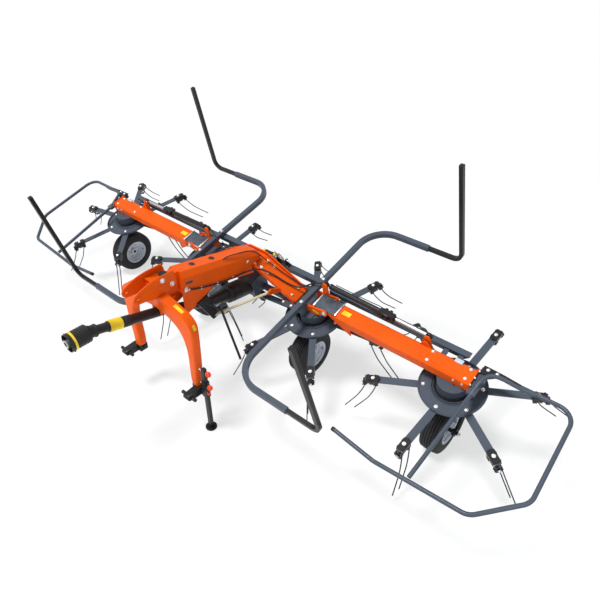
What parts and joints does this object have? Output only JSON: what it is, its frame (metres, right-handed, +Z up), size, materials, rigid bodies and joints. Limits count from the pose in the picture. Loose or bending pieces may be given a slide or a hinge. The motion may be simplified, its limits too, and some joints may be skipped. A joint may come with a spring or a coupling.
{
  "type": "hay tedder",
  "caption": "mounted hay tedder with a row of tined rotors on wheels, folding outer arms, tube guards and a swinging three-point headstock",
  "frame": {"origin": "centre of the bounding box on the ground, in the plane midway between the inner rotors", "axes": "+X to the side that shows in front in the picture, +Y to the rear of the machine, away from the tractor, +Z up"},
  "size_m": [5.421, 2.65, 1.8926],
  "materials": {
    "orange_paint": "gloss enamel, lightly worn",
    "slate_paint": "satin blue-grey enamel",
    "black_paint": "satin black enamel",
    "cream_paint": "worn cream enamel",
    "spring_steel": "dark coated spring wire",
    "rim_paint": "light grey enamel",
    "bright_steel": "bare machined steel",
    "tyre_rubber": "ribbed tyre rubber",
    "cover_rubber": "flexible sheet",
    "black_plastic": "moulded plastic"
  },
  "bodies": {
    "frame": {"centre_arch": "orange_paint", "boom": "orange_paint", "crossbar": "slate_paint", "centre_gearbox": "slate_paint", "inner_housings": "slate_paint", "inner_wheel_legs": "black_paint", "hinge_brackets": "orange_paint", "inner_cover_left": "cover_rubber", "inner_cover_right": "cover_rubber", "drive_bellows": "black_plastic", "prop_tube": "black_paint", "control_rod": "cream_paint", "guard_rail_left": "slate_paint", "guard_rail_right": "slate_paint", "guard_ends_left": "black_paint", "guard_ends_right": "black_paint"},
    "headstock_body": {"headstock": "orange_paint", "link_brackets": "black_paint", "stand_socket": "black_paint", "shaft_guard": "black_plastic"},
    "stand_body": {"parking_stand": "black_paint"},
    "yoke_body": {"shaft_yoke": "bright_steel"},
    "arm_left": {"outer_beam_left": "orange_paint", "outer_cover_left": "cover_rubber", "outer_housing_left": "slate_paint", "outer_wheel_leg_left": "black_paint", "guard_channel_left": "slate_paint", "outer_hoop_left": "slate_paint"},
    "barrel_left": {"ram_barrel_left": "black_paint"},
    "rod_left": {"ram_rod_left": "bright_steel"},
    "arm_right": {"outer_beam_right": "orange_paint", "outer_cover_right": "cover_rubber", "outer_housing_right": "slate_paint", "outer_wheel_leg_right": "black_paint", "guard_channel_right": "slate_paint", "outer_hoop_right": "slate_paint"},
    "barrel_right": {"ram_barrel_right": "black_paint"},
    "rod_right": {"ram_rod_right": "bright_steel"},
    "spin_left_outer": {"rotor_left_outer": "slate_paint", "tines_left_outer": "spring_steel"},
    "wheel_left_outer": {"tyre_left_outer": "tyre_rubber", "rim_left_outer": "rim_paint"},
    "spin_left_inner": {"rotor_left_inner": "slate_paint", "tines_left_inner": "spring_steel"},
    "wheel_left_inner": {"tyre_left_inner": "tyre_rubber", "rim_left_inner": "rim_paint"},
    "spin_right_inner": {"rotor_right_inner": "slate_paint", "tines_right_inner": "spring_steel"},
    "wheel_right_inner": {"tyre_right_inner": "tyre_rubber", "rim_right_inner": "rim_paint"},
    "spin_right_outer": {"rotor_right_outer": "slate_paint", "tines_right_outer": "spring_steel"},
    "wheel_right_outer": {"tyre_right_outer": "tyre_rubber", "rim_right_outer": "rim_paint"}
  },
  "joints": [
    {"name": "headstock_swing", "type": "hinge", "parent": "frame", "child": "headstock_body", "pos_m": [0, -0.519, 1.0885], "axis": [0, 0, 1], "range_deg": [-12, 12]},
    {"name": "stand_lift", "type": "slide", "parent": "headstock_body", "child": "stand_body", "axis": [0, 0, 1], "range_m": [0, 0.25]},
    {"name": "drive_spin", "type": "hinge", "parent": "headstock_body", "child": "yoke_body", "pos_m": [0, -1.284, 1.046], "axis": [0, 1, 0], "continuous": true},
    {"name": "arm_fold_left", "type": "hinge", "parent": "frame", "child": "arm_left", "pos_m": [-0.8, 0.42935, 0.74139], "axis": [0, 0.9659, 0.2588], "range_deg": [0, 90]},
    {"name": "ram_swing_left", "type": "hinge", "parent": "frame", "child": "barrel_left", "pos_m": [-0.7, 0.50263, 0.86973], "axis": [0, 0.9659, 0.2588], "range_deg": [0, 92]},
    {"name": "ram_stroke_left", "type": "slide", "parent": "barrel_left", "child": "rod_left", "axis": [-0.9995, 0.0083, -0.0311], "range_m": [-0.22, 0]},
    {"name": "arm_fold_right", "type": "hinge", "parent": "frame", "child": "arm_right", "pos_m": [0.8, 0.42935, 0.74139], "axis": [0, -0.9659, -0.2588], "range_deg": [0, 90]},
    {"name": "ram_swing_right", "type": "hinge", "parent": "frame", "child": "barrel_right", "pos_m": [0.7, 0.50263, 0.86973], "axis": [0, -0.9659, -0.2588], "range_deg": [0, 92]},
    {"name": "ram_stroke_right", "type": "slide", "parent": "barrel_right", "child": "rod_right", "axis": [0.9995, 0.0083, -0.0311], "range_m": [-0.22, 0]},
    {"name": "rotor_spin_left_outer", "type": "hinge", "parent": "arm_left", "child": "spin_left_outer", "pos_m": [-1.905, 0.44635, 0.52336], "axis": [0, -0.2588, 0.9659], "continuous": true},
    {"name": "rotor_spin_left_inner", "type": "hinge", "parent": "frame", "child": "spin_left_inner", "pos_m": [-0.635, 0.44635, 0.52336], "axis": [0, -0.2588, 0.9659], "continuous": true},
    {"name": "rotor_spin_right_inner", "type": "hinge", "parent": "frame", "child": "spin_right_inner", "pos_m": [0.635, 0.44635, 0.52336], "axis": [0, -0.2588, 0.9659], "continuous": true},
    {"name": "rotor_spin_right_outer", "type": "hinge", "parent": "arm_right", "child": "spin_right_outer", "pos_m": [1.905, 0.44635, 0.52336], "axis": [0, -0.2588, 0.9659], "continuous": true},
    {"name": "wheel_spin_left_outer", "type": "hinge", "parent": "arm_left", "child": "wheel_left_outer", "pos_m": [-1.905, 0.386, 0.21], "axis": [1, 0, 0], "continuous": true},
    {"name": "wheel_spin_left_inner", "type": "hinge", "parent": "frame", "child": "wheel_left_inner", "pos_m": [-0.635, 0.386, 0.21], "axis": [1, 0, 0], "continuous": true},
    {"name": "wheel_spin_right_inner", "type": "hinge", "parent": "frame", "child": "wheel_right_inner", "pos_m": [0.635, 0.386, 0.21], "axis": [1, 0, 0], "continuous": true},
    {"name": "wheel_spin_right_outer", "type": "hinge", "parent": "arm_right", "child": "wheel_right_outer", "pos_m": [1.905, 0.386, 0.21], "axis": [1, 0, 0], "continuous": true}
  ],
  "couplings": [
    {"joint": "rotor_spin_left_inner", "follows": "rotor_spin_right_inner", "ratio": -1},
    {"joint": "rotor_spin_right_outer", "follows": "rotor_spin_right_inner", "ratio": -1},
    {"joint": "rotor_spin_left_outer", "follows": "rotor_spin_right_inner", "ratio": 1},
    {"joint": "drive_spin", "follows": "rotor_spin_right_inner", "ratio": 3},
    {"joint": "ram_swing_left", "follows": "arm_fold_left", "ratio": 0.98},
    {"joint": "ram_stroke_left", "follows": "arm_fold_left", "m_per_rad": -0.1305},
    {"joint": "ram_swing_right", "follows": "arm_fold_right", "ratio": 0.98},
    {"joint": "ram_stroke_right", "follows": "arm_fold_right", "m_per_rad": -0.1305}
  ]
}
